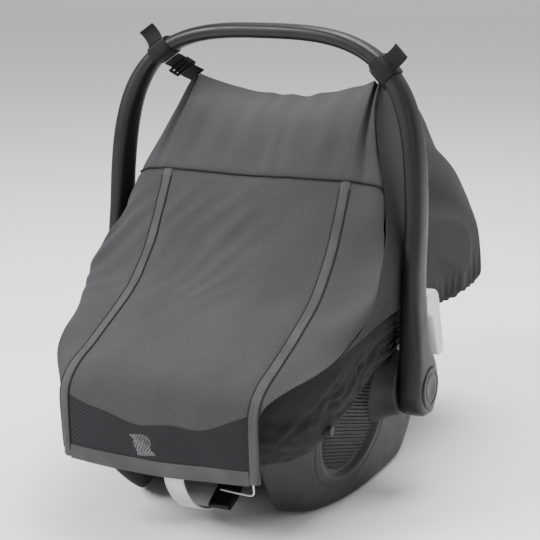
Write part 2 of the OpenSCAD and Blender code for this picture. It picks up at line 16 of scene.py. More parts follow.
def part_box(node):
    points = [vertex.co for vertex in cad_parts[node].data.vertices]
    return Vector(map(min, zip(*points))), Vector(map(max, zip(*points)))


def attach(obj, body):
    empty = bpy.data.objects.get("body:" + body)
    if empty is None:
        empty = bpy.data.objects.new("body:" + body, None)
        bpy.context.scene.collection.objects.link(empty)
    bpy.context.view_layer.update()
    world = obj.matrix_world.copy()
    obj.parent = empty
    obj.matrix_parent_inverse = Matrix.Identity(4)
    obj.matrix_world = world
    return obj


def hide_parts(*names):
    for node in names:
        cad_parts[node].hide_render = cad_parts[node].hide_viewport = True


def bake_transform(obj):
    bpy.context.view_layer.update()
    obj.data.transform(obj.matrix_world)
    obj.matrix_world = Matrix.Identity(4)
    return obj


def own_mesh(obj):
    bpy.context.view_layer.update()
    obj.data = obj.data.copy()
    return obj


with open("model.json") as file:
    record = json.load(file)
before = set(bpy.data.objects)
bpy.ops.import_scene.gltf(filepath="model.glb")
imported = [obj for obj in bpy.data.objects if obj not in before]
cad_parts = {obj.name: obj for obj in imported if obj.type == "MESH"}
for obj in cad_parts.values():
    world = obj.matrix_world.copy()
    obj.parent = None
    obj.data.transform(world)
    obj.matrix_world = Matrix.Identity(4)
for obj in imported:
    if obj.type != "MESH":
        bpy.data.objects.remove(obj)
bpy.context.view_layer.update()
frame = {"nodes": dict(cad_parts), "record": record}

# ---- design values, in millimetres and degrees ----
PIVOT = (13.0, 132.0)
PIN_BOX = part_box("pivot_pin_right")
Y_SHIFT = 500 * (PIN_BOX[0][1] + PIN_BOX[1][1]) - PIVOT[0]
WALL = 4.5
CHANNEL_HALF_W, CHANNEL_Z, FLOOR_Z = 82, 50, 55
BASE = (141, 185, 20)  # half width, half length and middle y of the outline that the shell stands on
RIM_HALF_W, RIM_HALF_L, RIM_MID_Y = 171, 284, 34
FLOOR_HALF_W, FLOOR_HALF_L, FLOOR_MID_Y = 116, 150, 12
FOOT_RIM_Z, SIDE_RIM_Z, HEAD_RIM_Z = 186, 226, 330
DISH_AT, DISH_R, DISH_DEPTH = (-76, 118), 86, 8
RIB_R, RIB_PITCH, RIB_TILT = 68, 4.3, -17
HANDLE_HALF_W, HANDLE_RISE, HANDLE_RAKE = 200, 417, 3.9
HUB_R, BUTTON_R, HUB_IN, HUB_OUT = 36, 26, 188.3, 219
STRIP_X, STRIP_W = 119, 12
LAYER_TOP = 0.925  # level of the foam's and the pad's upper edge, where 1 is the rim
SEAM_ROW, RIDGE_ROW = 9, 12
# Rows of the cover from the hem to the ridge: middle y and z, strip y and z, side edge x, y and z
COVER_ROWS = np.array([
    [-272, 88, -266, 91, 129, -251, 94],
    [-275, 146, -268, 147, 138, -247, 142],
    [-272, 180, -265, 176, 147, -236, 172],
    [-252, 204, -246, 195, 161, -211, 196],
    [-210, 222, -205, 209, 176, -168, 212],
    [-152, 246, -148, 232, 183, -118, 234],
    [-106, 270, -103, 256, 186, -88, 258],
    [-70, 302, -66, 290, 184, -60, 291],
    [-46, 334, -40, 324, 177, -26, 324],
    [-15, 381, -7, 381, 163, 0, 371],
    [17, 420, 22, 426, 146, 24, 414],
    [58, 447, 52, 462, 133, 50, 454],
    [100, 463, 80, 489, 127, 82, 488],
], float)


# ---- small maths ----
def sind(a):
    return np.sin(np.radians(a))


def cosd(a):
    return np.cos(np.radians(a))


def ramp(v, a, b):
    t = np.clip((v - a) / (b - a), 0, 1)
    return t * t * (3 - 2 * t)


def mix(a, b, t):
    return a + (b - a) * t


def power(v, p):
    return np.sign(v) * np.abs(v) ** p


def plan(a, n, hx, hy, cy):
    r = (np.abs(cosd(a)) ** n + np.abs(sind(a)) ** n) ** (-1 / n)
    return hx * r * cosd(a), cy + hy * r * sind(a)


def stack(*xyz):
    return np.stack(np.broadcast_arrays(*xyz), axis=-1).astype(float)


def lattice(u, v, seed):
    """Smooth noise from -1 to 1 with one bump per unit of u and v."""
    table = np.random.default_rng(seed).uniform(-1, 1, (61, 67))
    u, v = np.broadcast_arrays(np.asarray(u, float), np.asarray(v, float))
    i, j = np.floor(u).astype(int), np.floor(v).astype(int)
    fu, fv = u - i, v - j
    fu, fv = fu * fu * (3 - 2 * fu), fv * fv * (3 - 2 * fv)

    def at(di, dj):
        return table[(i + di) % 61, (j + dj) % 67]

    return mix(mix(at(0, 0), at(1, 0), fu), mix(at(0, 1), at(1, 1), fu), fv)


def normals(p):
    """Unit normals of a grid of points, along the cross product of its two directions."""
    n = np.cross(np.gradient(p, axis=1), np.gradient(p, axis=0))
    return n / np.maximum(np.linalg.norm(n, axis=-1, keepdims=True), 1e-9)


def unit(rows):
    """Vectors scaled to a length of one."""
    return rows / np.linalg.norm(rows, axis=-1, keepdims=True)


def lengths(p, axis):
    """Distance along a grid from its first line of points, in the direction of axis."""
    step = np.linalg.norm(np.diff(p, axis=axis), axis=-1)
    pad = [(0, 0), (0, 0)]
    pad[axis] = (1, 0)
    return np.cumsum(np.pad(step, pad), axis=axis)


# ---- meshes ----
def row_frame(p):
    """Layout millimetres to the frame's metres."""
    return (np.asarray(p, float) + (0, Y_SHIFT, 0)) / 1000


def make(name, points, faces, material, uv=None, sharp=40):
    """A smooth mesh object from layout points."""
    mesh = bpy.data.meshes.new(name)
    mesh.from_pydata(row_frame(points).tolist(), [], [list(map(int, f)) for f in faces])
    mesh.update()
    mesh.shade_smooth()
    mesh.set_sharp_from_angle(angle=math.radians(sharp))
    if uv is not None:
        layer = mesh.uv_layers.new(name="UVMap")
        index = np.empty(len(mesh.loops), int)
        mesh.loops.foreach_get("vertex_index", index)
        layer.data.foreach_set("uv", (np.asarray(uv, float)[index] / 1000).ravel())
    mesh.materials.append(material)
    piece = bpy.data.objects.new(name, mesh)
    bpy.context.scene.collection.objects.link(piece)
    return piece


def quads(m, n, close_rows=False, close_ring=False):
    rows = m if close_rows else m - 1
    ring = n if close_ring else n - 1
    i, j = np.meshgrid(np.arange(rows), np.arange(ring), indexing="ij")
    i2, j2 = (i + 1) % m, (j + 1) % n
    return np.stack([i * n + j, i * n + j2, i2 * n + j2, i2 * n + j], axis=-1).reshape(-1, 4).tolist()


def loft(name, rings, material, body, close_rows=False, sharp=40):
    """A closed skin through rings of points, capped at both ends unless the rings close on themselves."""
    m, n = rings.shape[:2]
    faces = quads(m, n, close_rows, close_ring=True)
    if not close_rows:
        faces.append(list(range(n))[::-1])
        faces.append(list(range((m - 1) * n, m * n)))
    u = np.arange(n) / n * np.linalg.norm(np.diff(rings, axis=1), axis=-1).sum(axis=1).mean()
    uv = stack(u[None, :], lengths(rings, 0).mean(axis=1)[:, None]).reshape(-1, 2)
    piece = make(name, rings.reshape(-1, 3), faces, material, uv, sharp)
    return outward(piece, body)


def outward(piece, body):
    """Turns a closed mesh's faces outwards, then rides it on its body, if it has one."""
    shape = bmesh.new()
    shape.from_mesh(piece.data)
    bmesh.ops.recalc_face_normals(shape, faces=shape.faces)
    shape.to_mesh(piece.data)
    shape.free()
    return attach(piece, body) if body else piece


def cloth(name, grid, material, thickness=1.4):
    """A sheet of cloth from a grid of layout points, thickened inwards, with its texture along the grid."""
    m, n = grid.shape[:2]
    across = lengths(grid, 1)
    across = across - across[:, n // 2][:, None]
    along = lengths(grid, 0)[:, n // 2][:, None]
    shift = -normals(grid) * thickness
    points = np.concatenate([grid.reshape(-1, 3), (grid + shift).reshape(-1, 3)])
    uv = stack(across, along + across * 0).reshape(-1, 2)
    face = quads(m, n)
    under = [[m * n + k for k in f[::-1]] for f in face]
    edge = list(range(n)) + [i * n + n - 1 for i in range(1, m)]
    edge += [(m - 1) * n + k for k in range(n - 2, -1, -1)] + [i * n for i in range(m - 2, 0, -1)]
    rim = [[b, a, a + m * n, b + m * n] for a, b in zip(edge, edge[1:] + edge[:1])]
    piece = make(name, points, face + under + rim, material, np.concatenate([uv, uv]), 60)
    return outward(piece, None)


def finish_cloth(piece, nodes):
    """Bakes a cloth piece's placement into its mesh and hides the solids that it stands for."""
    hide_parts(*nodes)
    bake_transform(piece)


def strip(name, centres, widths, lifts, half_w, thick, material, body):
    """A flat strap along centres, wide along widths and thick along lifts, with softly rounded edges."""
    profile = [(-1, 0.0), (-0.97, 0.8), (-0.8, 1), (0, 1.06), (0.8, 1), (0.97, 0.8),
               (1, 0), (0.97, -0.8), (0.8, -1), (0, -1.06), (-0.8, -1), (-0.97, -0.8)]
    rings = np.stack([centres + widths * half_w * w + lifts * thick / 2 * h for w, h in profile], axis=1)
    return loft(name, rings, material, body, sharp=60)


def smooth_path(points, count):
    """A Catmull-Rom curve through points, sampled count times at even steps along it."""
    p = np.asarray(points, float)
    p = np.concatenate([[2 * p[0] - p[1]], p, [2 * p[-1] - p[-2]]])
    t = np.linspace(0, len(p) - 3, 40 * len(p))
    curve = catmull(p, t)
    s = np.concatenate([[0], np.cumsum(np.linalg.norm(np.diff(curve, axis=0), axis=1))])
    even = np.linspace(0, s[-1], count)
    return np.stack([np.interp(even, s, curve[:, k]) for k in range(curve.shape[1])], axis=-1)


def catmull(p, t):
    """Catmull-Rom value at t, where t = 0 is the second point of p."""
    i = np.clip(np.floor(t).astype(int), 0, len(p) - 4)
    f = (t - i)[..., None]
    a, b, c, d = p[i], p[i + 1], p[i + 2], p[i + 3]
    return 0.5 * (2 * b + (c - a) * f + (2 * a - 5 * b + 4 * c - d) * f**2 + (3 * b - a - 3 * c + d) * f**3)


# ---- materials ----
class Paint:
    """A Principled material whose colour, roughness and bump come from its nodes."""

    def __init__(self, name, rough, metallic=0.0, sheen=0.0, coat=0.0):
        self.material = bpy.data.materials.new(name)
        self.material.use_nodes = True
        self.nodes = self.material.node_tree.nodes
        self.links = self.material.node_tree.links
        self.shader = self.nodes["Principled BSDF"]
        self.shader.inputs["Roughness"].default_value = rough
        self.shader.inputs["Metallic"].default_value = metallic
        self.shader.inputs["Sheen Weight"].default_value = sheen
        self.shader.inputs["Sheen Roughness"].default_value = 0.45
        self.shader.inputs["Coat Weight"].default_value = coat
        self.shader.inputs["Specular IOR Level"].default_value = 0.15 if sheen else 0.28
        self.height = None

    def add(self, kind, inputs=(), **settings):
        node = self.nodes.new(kind)
        for key, value in settings.items():
            setattr(node, key, value)
        for key, value in dict(inputs).items():
            if isinstance(value, bpy.types.NodeSocket):
                self.links.new(value, node.inputs[key])
            else:
                node.inputs[key].default_value = value
        return node

    def math(self, operation, a, b=0.0, c=0.0):
        return self.add("ShaderNodeMath", {0: a, 1: b, 2: c}, operation=operation).outputs[0]

    def place(self, space="Object", scale=(1, 1, 1), turn=0.0):
        source = self.add("ShaderNodeTexCoord").outputs[space]
        inputs = {"Vector": source, "Scale": scale, "Rotation": (0, 0, turn)}
        return self.add("ShaderNodeMapping", inputs).outputs[0]

    def noise(self, scale, detail=3.0, at=None):
        where = at or self.place()
        inputs = {"Vector": where, "Scale": scale, "Detail": detail}
        return self.add("ShaderNodeTexNoise", inputs).outputs["Fac"]

    def spread(self, value, low, high, to_low, to_high):
        node = self.add("ShaderNodeMapRange", {0: value, 1: low, 2: high, 3: to_low, 4: to_high})
        return node.outputs[0]

    def colour(self, dark, light, factor):
        node = self.add("ShaderNodeMix", {"Factor": factor}, data_type="RGBA")
        node.inputs[6].default_value = (*dark, 1)
        node.inputs[7].default_value = (*light, 1)
        self.links.new(node.outputs[2], self.shader.inputs["Base Color"])

    def rough(self, value, low, high):
        self.links.new(self.spread(value, 0.3, 0.7, low, high), self.shader.inputs["Roughness"])

    def bump(self, height, distance, strength=1.0):
        inputs = {"Height": height, "Distance": distance, "Strength": strength}
        if self.height is not None:
            inputs["Normal"] = self.height
        self.height = self.add("ShaderNodeBump", inputs).outputs[0]
        self.links.new(self.height, self.shader.inputs["Normal"])


CLOTH_SHEEN = 0.04


def tint(base, share):
    return tuple(c * share for c in base)


def plastic(name, base, rough=0.45, grain=0.00006, coat=0.0):
    """Moulded plastic: fine spark-eroded grain, faint flow clouds and slightly uneven gloss."""
    p = Paint(name, rough, coat=coat)
    clouds = p.noise(9.0, 2.0)
    p.colour(tint(base, 0.9), tint(base, 1.12), p.spread(clouds, 0.35, 0.65, 0, 1))
    p.rough(p.noise(40.0, 4.0), rough - 0.05, rough + 0.07)
    p.bump(p.noise(1100.0, 2.0), grain, 0.6)
    return p.material


def steel(name):
    """Zinc-plated steel, drawn along x."""
    p = Paint(name, 0.32, metallic=1.0)
    drawn = p.noise(600.0, 2.0, p.place(scale=(0.04, 1, 1)))
    p.colour((0.42, 0.43, 0.45), (0.62, 0.63, 0.65), drawn)
    p.rough(drawn, 0.26, 0.42)
    p.bump(drawn, 0.00004, 0.5)
    return p.material


def weave(name, base, pitch=0.9, turn=0.0, depth=0.00012, contrast=0.25):
    """Plain weave: crossing threads of one pitch in millimetres, over faint clouds of tone."""
    p = Paint(name, 0.9, sheen=CLOTH_SHEEN)
    where = p.place("UV", (1000 / pitch,) * 3, turn)
    axes = p.add("ShaderNodeSeparateXYZ", {0: where})
    warp = p.math("SINE", p.math("MULTIPLY", axes.outputs[0], math.pi))
    weft = p.math("SINE", p.math("MULTIPLY", axes.outputs[1], math.pi))
    threads = p.math("ABSOLUTE", p.math("MULTIPLY", warp, weft))
    slub = p.noise(260.0, 3.0)
    tone = p.noise(11.0, 3.0)
    mixed = p.math("MULTIPLY_ADD", threads, contrast, p.math("MULTIPLY", slub, 0.3))
    shade = p.math("MULTIPLY_ADD", tone, 0.4, mixed)
    p.colour(tint(base, 0.72), tint(base, 1.28), p.spread(shade, 0.15, 0.85 + contrast, 0, 1))
    p.bump(threads, depth, 0.8)
    p.bump(slub, depth * 0.8, 0.4)
    return p.material


def net(name, base, pitch=2.9, depth=0.00035):
    """Sun-shade mesh: slanting ribs crossed by finer ones, with small dark eyelets between them."""
    p = Paint(name, 0.9, sheen=CLOTH_SHEEN)
    where = p.place("UV", (1000 / pitch,) * 3, 0.9)
    axes = p.add("ShaderNodeSeparateXYZ", {0: where})
    wide = p.math("SINE", p.math("MULTIPLY", axes.outputs[0], 2 * math.pi))
    fine = p.math("SINE", p.math("MULTIPLY", axes.outputs[1], 2.6 * math.pi))
    eyes = p.math("MULTIPLY_ADD", fine, 0.45, wide)
    patches = p.spread(p.noise(9.0, 2.0), 0.36, 0.6, 0.35, 1.0)
    shade = p.math("MULTIPLY_ADD", p.math("MULTIPLY", eyes, 0.5), patches, 0.5)
    tone = p.math("MULTIPLY_ADD", p.noise(12.0, 3.0), 0.5, -0.25)
    p.colour(tint(base, 0.55), tint(base, 1.5), p.math("ADD", shade, tone))
    p.bump(eyes, depth, 0.5)
    p.bump(p.noise(300.0, 3.0), depth * 0.4, 0.4)
    return p.material


def ribbed(name, base, pitch=1.6):
    """Webbing and binding tape: close ribs across the strap and a fine grain along it."""
    p = Paint(name, 0.7, sheen=CLOTH_SHEEN)
    axes = p.add("ShaderNodeSeparateXYZ", {0: p.place("UV", (1000 / pitch,) * 3)})
    ribs = p.math("SINE", p.math("MULTIPLY", axes.outputs[1], 2 * math.pi))
    grain = p.math("SINE", p.math("MULTIPLY", axes.outputs[0], 3.1 * math.pi))
    both = p.math("MULTIPLY_ADD", grain, 0.5, ribs)
    wear = p.math("MULTIPLY_ADD", p.noise(30.0, 3.0), 0.9, p.math("MULTIPLY", both, 0.14))
    p.colour(tint(base, 0.75), tint(base, 1.3), p.spread(wear, 0.2, 0.75, 0, 1))
    p.bump(both, 0.00018, 0.6)
    return p.material


def open_net(name, thread, gap, pitch=3.4):
    """Open diamond net over a dark ground."""
    p = Paint(name, 0.8, sheen=CLOTH_SHEEN)
    axes = p.add("ShaderNodeSeparateXYZ", {0: p.place("UV", (1000 / pitch,) * 3, 0.8)})
    one = p.math("ABSOLUTE", p.math("SINE", p.math("MULTIPLY", axes.outputs[0], math.pi)))
    two = p.math("ABSOLUTE", p.math("SINE", p.math("MULTIPLY", axes.outputs[1], math.pi)))
    hole = p.math("MULTIPLY", one, two)
    faint = p.spread(p.noise(60.0, 2.0), 0.4, 0.6, 0.25, 1.0)
    p.colour(thread, gap, p.math("MULTIPLY", p.spread(hole, 0.35, 0.6, 0, 1), faint))
    p.bump(hole, 0.0003, 0.5)
    return p.material


def beads(name):
    """Expanded foam: pressed beads with darker joints."""
    p = Paint(name, 0.75)
    cells = p.add("ShaderNodeTexVoronoi", {"Vector": p.place(), "Scale": 260.0}, feature="DISTANCE_TO_EDGE")
    edge = p.spread(cells.outputs["Distance"], 0.0, 0.12, 0, 1)
    p.colour((0.55, 0.55, 0.54), (0.83, 0.83, 0.82), edge)
    p.bump(edge, 0.0003, 0.6)
    return p.material


def floor_paint():
    p = Paint("studio_floor", 0.85)
    p.colour((0.90, 0.90, 0.90), (0.92, 0.92, 0.92), p.noise(2.0))
    return p.material


CHARCOAL = (0.016, 0.016, 0.018)
GREY_CLOTH = (0.052, 0.052, 0.054)
PAINTS = {
    "shell_plastic": plastic("shell_plastic", CHARCOAL, 0.5),
    "handle_plastic": plastic("handle_plastic", (0.009, 0.009, 0.010), 0.38, 0.00004),
    "black_plastic": plastic("black_plastic", (0.008, 0.008, 0.009), 0.3),
    "grey_plastic": plastic("grey_plastic", (0.16, 0.16, 0.165), 0.42),
    "lever_plastic": plastic("lever_plastic", (0.66, 0.66, 0.68), 0.4, 0.00003),
    "red_plastic": plastic("red_plastic", (0.5, 0.02, 0.02), 0.25, 0.00002, coat=0.4),
    "steel": steel("steel"),
    "foam": beads("foam"),
    "pad_fabric": weave("pad_fabric", (0.035, 0.035, 0.038), 1.4, 0.0, 0.0003),
    "skirt_fabric": weave("skirt_fabric", (0.022, 0.022, 0.024), 0.8, 0.3, 0.0001, 0.12),
    "harness_webbing": ribbed("harness_webbing", (0.010, 0.010, 0.011)),
    "pale_webbing": ribbed("pale_webbing", (0.52, 0.52, 0.53)),
    "mesh_fabric": net("mesh_fabric", (0.044, 0.044, 0.046), 2.5),
    "top_fabric": weave("top_fabric", GREY_CLOTH, 0.7, 0.0, 0.00008, 0.1),
    "hood_fabric": weave("hood_fabric", (0.030, 0.030, 0.032), 0.7, 0.5, 0.00008, 0.1),
    "band_fabric": net("band_fabric", (0.016, 0.016, 0.018), depth=0.0001),
    "thin_net": open_net("thin_net", (0.03, 0.03, 0.032), (0.16, 0.16, 0.17), 2.8),
    "binding_fabric": ribbed("binding_fabric", (0.056, 0.056, 0.058), 0.8),
}
NODE_SLOT = {s["node"]: s["material_slot"] for s in frame["record"]["subparts"]}
for node_name, node_object in frame["nodes"].items():
    node_object.data.materials.clear()
    node_object.data.materials.append(PAINTS[NODE_SLOT[node_name]])


# ---- shell ----
def rise(y):
    foot = 125 * (np.maximum(40 - y, 0) / 300) ** 3
    head = 215 * (np.maximum(y - 40, 0) / 290) ** 2.2
    return np.where(y < 40, foot, head)


def rim_z(y):
    return (FOOT_RIM_Z + (SIDE_RIM_Z - FOOT_RIM_Z) * ramp(y, -245, -90)
            + (HEAD_RIM_Z - SIDE_RIM_Z) * ramp(y, 30, 290))


def base_z(x, y):
    skid = np.sqrt(900 + (0.63 * np.maximum(0, np.abs(y) - 100)) ** 2) - 30
    return mix(CHANNEL_Z + rise(y), skid, ramp(np.abs(x), CHANNEL_HALF_W - 12, CHANNEL_HALF_W + 6))


def base_plan(a):
    front = plan(a, 2.5, *BASE)
    rear = plan(a, 4.0, *BASE)
    return [np.where(sind(a) < 0, f, r) for f, r in zip(front, rear)]


def rim_plan(a, e):
    return plan(a, 3.4, RIM_HALF_W - e, RIM_HALF_L - e, RIM_MID_Y)


def flare(a, t):
    reach = np.minimum(1, t / mix(1, 0.7, ramp(-sind(a), 0.3, 0.9)))
    return np.maximum(0, sind(90 * reach)) ** 0.8


def dish(y, z):
    return DISH_DEPTH * ramp(DISH_R - np.hypot(y - DISH_AT[0], z - DISH_AT[1]), 6, 17)


def wall_point(a, t):
    """Point of the shell's outer wall at angle a and level t, with its round dish and the groove round it."""
    base, rim, k = base_plan(a), rim_plan(a, 0), flare(a, t)
    x, y = mix(base[0], rim[0], k), mix(base[1], rim[1], k)
    z = mix(base_z(*base), rim_z(rim[1]), t)
    past_dish = np.hypot(y - DISH_AT[0], z - DISH_AT[1]) - DISH_R
    groove = 1.5 * np.exp(-((past_dish - 3) / 1.1) ** 2)
    d = -np.where(np.abs(x) > 75, dish(y, z) + groove, 0)
    return stack(x + cosd(a) * d, y + sind(a) * d, z)


def wall_at(a, z, e):
    """Point of the outer wall at angle a and height z, stood off by e, without the dish."""
    base, rim = base_plan(a), rim_plan(a, 0)
    low = base_z(*base)
    k = flare(a, np.clip((z - low) / (rim_z(rim[1]) - low), 0, 1))
    return stack(mix(base[0], rim[0], k) + cosd(a) * e, mix(base[1], rim[1], k) + sind(a) * e, z)


def inner_point(a, t, e):
    base = plan(a, 2.5, FLOOR_HALF_W - e, FLOOR_HALF_L - e, FLOOR_MID_Y)
    rim, k = rim_plan(a, WALL + e), flare(a, t)
    z = mix(FLOOR_Z + rise(base[1]) + e, rim_z(rim[1]) - np.where(np.asarray(e) > 0, 4, 0), t)
    return stack(mix(base[0], rim[0], k), mix(base[1], rim[1], k), z)


def floor_ring(a, k, e):
    x, y = plan(a, 2.5, (FLOOR_HALF_W - e) * k, (FLOOR_HALF_L - e) * k, FLOOR_MID_Y)
    return stack(x, y, FLOOR_Z + rise(y) + e)


def under_ring(a, k):
    x, y = base_plan(a)
    x, y = x * k, mix(BASE[2], y, k)
    return stack(x, y, base_z(x, y))


def build_shell():
    """The moulded shell as one closed skin: underside, outer wall, rolled rim, inside and floor."""
    crowd = np.linspace(0, 360, 3601)
    crowd = np.cumsum(1 + 5 * np.exp(-(((crowd - 332) / 20) ** 2)) + 5 * np.exp(-(((crowd - 208) / 20) ** 2)))
    a = np.interp(np.linspace(crowd[0], crowd[-1], 640, endpoint=False), crowd, np.linspace(0, 360, 3601))
    under = [under_ring(a, k) for k in (0.02, 0.2, 0.35, 0.45, 0.5, 0.54, 0.58, 0.62, 0.68, 0.78, 0.88, 0.95)]
    outer = [wall_point(a, t) for t in np.linspace(0, 1, 150) ** 1.1]
    top = [inner_point(a, 1, -WALL * k) + (0, 0, 1.6 * math.sin(math.pi * k)) for k in (0.75, 0.5, 0.25)]
    inner = [inner_point(a, t, 0) for t in np.linspace(1, 0, 24)]
    bottom = [floor_ring(a, k, 0) for k in (0.75, 0.5, 0.25, 0.02)]
    rings = np.array(under + outer + top + inner + bottom)
    first, last, passes = 9, 22, 14  # rings beside the edge between underside and wall, which is rounded off
    for _ in range(passes):
        beside = rings[first - 1:last - 1] + rings[first + 1:last + 1]
        rings[first:last] = (beside + 2 * rings[first:last]) / 4
    shell = loft("shell_skin", rings, PAINTS["shell_plastic"], "seat", sharp=50)
    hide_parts("shell")


def build_boss(side):
    """Round boss that carries the handle's bearing, run out softly into the shell's wall."""
    profile = [(150, 56), (157, 50), (163, 45), (169, 41.5), (176, 39), (184, 37.6), (187.2, 37.2),
               (187.8, 36.4), (187.8, 1)]
    boss = lathe_x("pivot_boss_" + NAMES[side], side, profile, PAINTS["shell_plastic"], "seat")
    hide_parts("pivot_plate_" + NAMES[side])


def wall_angle(y, z):
    """Angle at which the right side wall passes through y at height z."""
    low, high = np.full(np.shape(y), -85.0), np.full(np.shape(y), 40.0)
    for _ in range(24):
        middle = (low + high) / 2
        past = wall_at(middle, z, 0)[..., 1] > y
        high, low = np.where(past, middle, high), np.where(past, low, middle)
    return (low + high) / 2


def build_rib_panel(side):
    """Level ribs in the dish, as one ridged plate with a round outline."""
    across = np.linspace(-RIB_R + 1, RIB_R - 1, 420)[:, None]
    along = np.sqrt(RIB_R**2 - across**2) * np.linspace(-1, 1, 40)[None, :]
    y = DISH_AT[0] + along * cosd(RIB_TILT) - across * sind(RIB_TILT)
    height = DISH_AT[1] + along * sind(RIB_TILT) + across * cosd(RIB_TILT)
    crest = np.abs(((across / RIB_PITCH + 0.5) % 1) - 0.5) * RIB_PITCH
    lift = mix(3.2, 1.2, ramp(crest, 0.5, 1.5)) + 0 * y
    edge = ramp(RIB_R - np.hypot(along, across), 0, 2.5)
    x = wall_at(wall_angle(y, height), height, 0)[..., 0] - DISH_DEPTH + mix(0.4, lift, edge)
    grid = stack(x * side, y, height)
    panel = cloth("rib_panel_" + NAMES[side], grid[:, ::side], PAINTS["shell_plastic"], 1.0)
    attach(panel, "seat")
    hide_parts("side_rib_panel_" + NAMES[side])


# ---- handle ----
NAMES = {-1: "left", 1: "right"}
SIDES = (-1, 1)
HANDLE_Z = 135  # height from which the handle's plane is measured
LEG_START = 120  # height up the leg where the hub's shape ends
LEG_SOFT = 0.72  # roundness of the leg's section, where 1 is an ellipse
HUB_CENTRE = (-2.1, 13.2)  # of the round hub, in the handle's plane and across it
BOW_X, BOW_R = 2.96, 6.3  # powers of the bow's outline
POCKET_X = 203  # floor of the pocket in the hub
SPRING_X = (203.2, 212.3)  # both ends of the coil behind the button
TURNED = 96  # points round a turned piece


def raked(x, r, off):
    """Point in the handle's plane at lateral x and height r, moved backwards by off."""
    s, c = sind(HANDLE_RAKE), cosd(HANDLE_RAKE)
    return stack(x, r * s + off * c, HANDLE_Z + r * c - off * s)


def bow_line(count):
    """Centre line of the bow, left leg to right leg over the top, as x and r in even steps."""
    f = np.radians(np.linspace(0, 90, 4000))
    x = HANDLE_HALF_W * np.cos(f) ** (2 / BOW_X)
    r = HANDLE_RISE * np.sin(f) ** (2 / BOW_R)
    keep = r >= LEG_START
    x, r = np.append(-x[keep], x[keep][::-1]), np.append(r[keep], r[keep][::-1])
    s = np.append(0, np.cumsum(np.hypot(np.diff(x), np.diff(r))))
    even = np.linspace(0, s[-1], count)
    return np.stack([np.interp(even, s, x), np.interp(even, s, r)], axis=-1)


def half_thick(r):
    return mix(12.5, 11.2, ramp(r, 40, 190)) - 1.7 * ramp(r, 330, 400)


def half_deep(r):
    return mix(22, 21, ramp(r, 50, 200)) - 6 * ramp(r, 260, 410)


def leg_off(r):
    return mix(2, 0, ramp(r, 40, 200)) - 4 * ramp(200 - r, 0, 60)


def section(centre, across, half_x, front, rear, soft):
    """One ring of the handle: a rounded rectangle between its front and rear edges."""
    u = np.linspace(0, 2 * np.pi, 40, endpoint=False)
    a = half_x * power(np.cos(u), soft)
    b = (front + rear) / 2 + (rear - front) / 2 * power(np.sin(u), soft)
    return raked(centre[0] + across[0] * a, centre[1] + across[1] * a, b)


def hub_ring(side, r):
    """Ring of the leg's foot, which widens into the round hub."""
    fall = np.clip(r - HUB_CENTRE[0], -HUB_R, 0)
    disc = math.sqrt(max(0.0, HUB_R**2 - fall**2))
    at_leg = ramp(r, 10, 118)
    front = mix(HUB_CENTRE[1] - disc, leg_off(r) - half_deep(r), ramp(r, -2, 100))
    rear = mix(HUB_CENTRE[1] + disc, leg_off(r) + half_deep(r), ramp(r, 2, 66))
    edge = min(1.0, max(0.0, r - HUB_CENTRE[0] + HUB_R) / 6)
    half_x = mix((HUB_OUT - HUB_IN) / 2, half_thick(r), at_leg) * math.sqrt(1 - (1 - edge) ** 2)
    leg_x = HANDLE_HALF_W * (1 - (max(r, 0) / HANDLE_RISE) ** BOW_R) ** (1 / BOW_X)
    x = mix((HUB_OUT + HUB_IN) / 2, leg_x, at_leg)
    return section((side * x, r), (side, 0), half_x, front, rear, mix(0.42, LEG_SOFT, ramp(r, 10, 150)))


def build_bow():
    """Carry handle: hubs, legs and bar as one smooth moulding, with a pocket in each hub for its button."""
    foot = HUB_CENTRE[0] - HUB_R
    rounding = foot + 14 * (1 - np.cos(np.linspace(0.12, math.pi / 2, 14)))
    feet = np.append(rounding, np.linspace(foot + 17, LEG_START - 4, 34))
    line = bow_line(150)
    step = unit(np.gradient(line, axis=0))
    bow = []
    for p, d in zip(line, step):
        middle, deep = leg_off(p[1]), half_deep(p[1])
        bow.append(section(p, (-d[1], d[0]), half_thick(p[1]), middle - deep, middle + deep, LEG_SOFT))
    left = [hub_ring(-1, r) for r in feet]
    right = [hub_ring(1, r) for r in feet[::-1]]
    rings = np.array(left + bow + right)
    bow = loft("handle_moulding", rings, PAINTS["handle_plastic"], None, sharp=45)
    for side in SIDES:
        pocket = cylinder_x(side * POCKET_X, side * (HUB_OUT + 6), BUTTON_R + 0.4)
        cut = bow.modifiers.new("pocket", "BOOLEAN")
        cut.operation = "DIFFERENCE"
        cut.solver = "EXACT"
        cut.object = pocket
        apply_modifiers(bow)
        bpy.data.objects.remove(pocket)
    bow.data.set_sharp_from_angle(angle=math.radians(35))
    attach(bow, "handle")
    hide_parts("handle_bow", "handle_hub_left", "handle_hub_right")


def cylinder_x(x0, x1, r):
    a = np.linspace(0, 2 * np.pi, TURNED, endpoint=False)
    rings = np.array([stack(x + 0 * a, PIVOT[0] + r * np.cos(a), PIVOT[1] + r * np.sin(a)) for x in (x0, x1)])
    return loft("pocket_cutter", rings, PAINTS["handle_plastic"], None)


def apply_modifiers(piece):
    """Replaces a mesh by its evaluated form, with no modifier left."""
    depsgraph = bpy.context.evaluated_depsgraph_get()
    done = bpy.data.meshes.new_from_object(piece.evaluated_get(depsgraph))
    piece.modifiers.clear()
    piece.data = done


def lathe_x(name, side, profile, material, body):
    """A turned piece about the hub's axis, from pairs of x and radius."""
    a = np.linspace(0, 2 * np.pi, TURNED, endpoint=False)
    rings = [stack(side * x + 0 * a, PIVOT[0] + r * np.cos(a), PIVOT[1] + r * np.sin(a)) for x, r in profile]
    return loft(name, np.array(rings), material, body, sharp=50)


